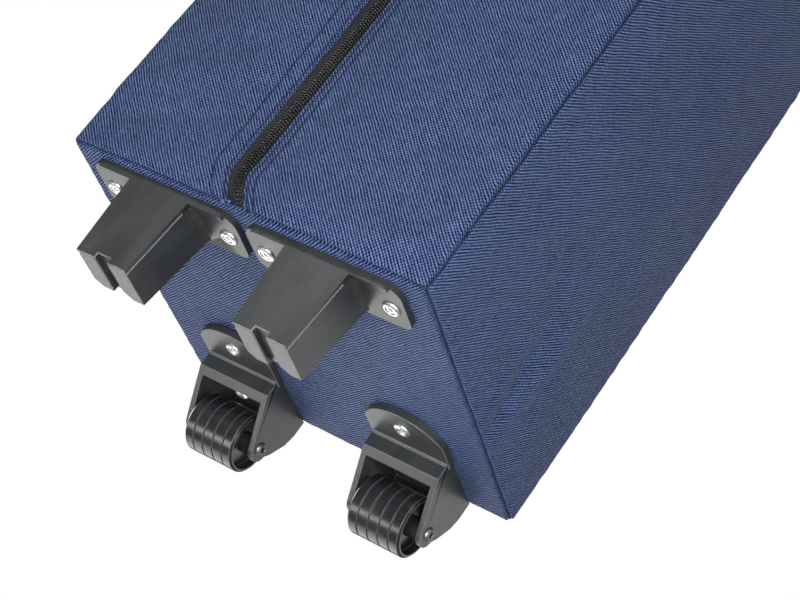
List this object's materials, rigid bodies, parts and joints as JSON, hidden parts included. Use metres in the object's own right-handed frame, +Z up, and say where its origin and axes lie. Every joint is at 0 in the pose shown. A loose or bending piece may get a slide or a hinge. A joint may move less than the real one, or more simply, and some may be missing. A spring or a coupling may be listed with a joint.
{
  "type": "shopping trolley",
  "caption": "Upright fabric shopping trolley on two feet and two rollers, with a front zip, carry loops and a telescopic handle.",
  "frame": {"origin": "on the ground, under the middle of the trolley's outline", "axes": "+Z up, -Y towards the zipped front, +X to the right as seen from the front"},
  "size_m": [0.25, 0.259, 0.6006],
  "materials": {
    "navy_fabric": "woven polyester, faint sheen",
    "webbing": "woven webbing",
    "zip_tape": "woven tape",
    "zip_coil": "satin nylon",
    "black_enamel": "semi-gloss enamel",
    "plain_steel": "plain",
    "board_plastic": "matt",
    "foot_plastic": "satin moulded",
    "bracket_plastic": "satin moulded",
    "roller_plastic": "semi-gloss moulded",
    "rivet_metal": "bright nickel",
    "outer_tube_metal": "satin",
    "inner_tube_metal": "satin anodised",
    "button_plastic": "satin",
    "handle_plastic": "satin moulded"
  },
  "bodies": {
    "bag": {"front_panel_left": "navy_fabric", "front_panel_right": "navy_fabric", "side_panel_left": "navy_fabric", "side_panel_right": "navy_fabric", "back_panel": "navy_fabric", "bottom_panel": "navy_fabric", "top_panel": "navy_fabric", "zip_tape_left": "zip_tape", "zip_tape_right": "zip_tape", "zip_coil_left": "zip_coil", "zip_coil_right": "zip_coil", "zip_end_stops": "plain_steel", "base_board": "board_plastic", "back_board": "board_plastic", "foot_left": "foot_plastic", "foot_right": "foot_plastic", "foot_rivets": "rivet_metal", "bracket_left": "bracket_plastic", "bracket_right": "bracket_plastic", "bracket_rivets": "rivet_metal", "rivet_washers": "rivet_metal", "axle_left": "plain_steel", "axle_right": "plain_steel", "tube_socket": "handle_plastic", "socket_screws": "plain_steel", "outer_tube_left": "outer_tube_metal", "outer_tube_right": "outer_tube_metal", "handle_collar": "handle_plastic", "collar_backing": "handle_plastic", "collar_screws": "plain_steel", "carry_loop_front": "webbing", "carry_loop_back": "webbing"},
    "zip_slider": {"zip_slider": "black_enamel"},
    "zip_pull": {"zip_pull": "black_enamel"},
    "wheel_left": {"wheel_left": "roller_plastic"},
    "wheel_right": {"wheel_right": "roller_plastic"},
    "handle": {"inner_tube_left": "inner_tube_metal", "inner_tube_right": "inner_tube_metal", "tube_plugs": "handle_plastic", "grip_lower": "handle_plastic", "grip_upper": "handle_plastic", "grip_screws": "plain_steel", "button_spring": "plain_steel"},
    "release": {"release_button": "button_plastic", "link_bar": "plain_steel", "push_rods": "plain_steel"},
    "lock_pin_left": {"lock_pin_left": "plain_steel"},
    "lock_pin_right": {"lock_pin_right": "plain_steel"}
  },
  "joints": [
    {"name": "wheel_left_spin", "type": "hinge", "parent": "bag", "child": "wheel_left", "pos_m": [-0.066, 0.103, 0.02], "axis": [1, 0, 0], "continuous": true},
    {"name": "wheel_right_spin", "type": "hinge", "parent": "bag", "child": "wheel_right", "pos_m": [0.066, 0.103, 0.02], "axis": [1, 0, 0], "continuous": true},
    {"name": "handle_slide", "type": "slide", "parent": "bag", "child": "handle", "axis": [0, 0, 1], "range_m": [0, 0.38]},
    {"name": "button_press", "type": "slide", "parent": "handle", "child": "release", "axis": [0, 0, -1], "range_m": [0, 0.004], "stiffness_N_per_m": 800, "springref_m": -0.003, "deforming": ["button_spring"]},
    {"name": "lock_pin_left_pull", "type": "slide", "parent": "handle", "child": "lock_pin_left", "axis": [1, 0, 0], "range_m": [0, 0.002]},
    {"name": "lock_pin_right_pull", "type": "slide", "parent": "handle", "child": "lock_pin_right", "axis": [-1, 0, 0], "range_m": [0, 0.002]},
    {"name": "zip_slide", "type": "slide", "parent": "bag", "child": "zip_slider", "axis": [0, 0, 1], "range_m": [-0.42, 0]},
    {"name": "pull_swing", "type": "hinge", "parent": "zip_slider", "child": "zip_pull", "pos_m": [-0.014, -0.1278, 0.518], "axis": [-1, 0, 0], "range_deg": [0, 150]}
  ],
  "couplings": [
    {"joint": "lock_pin_left_pull", "follows": "button_press", "ratio": 0.5},
    {"joint": "lock_pin_right_pull", "follows": "button_press", "ratio": 0.5}
  ]
}
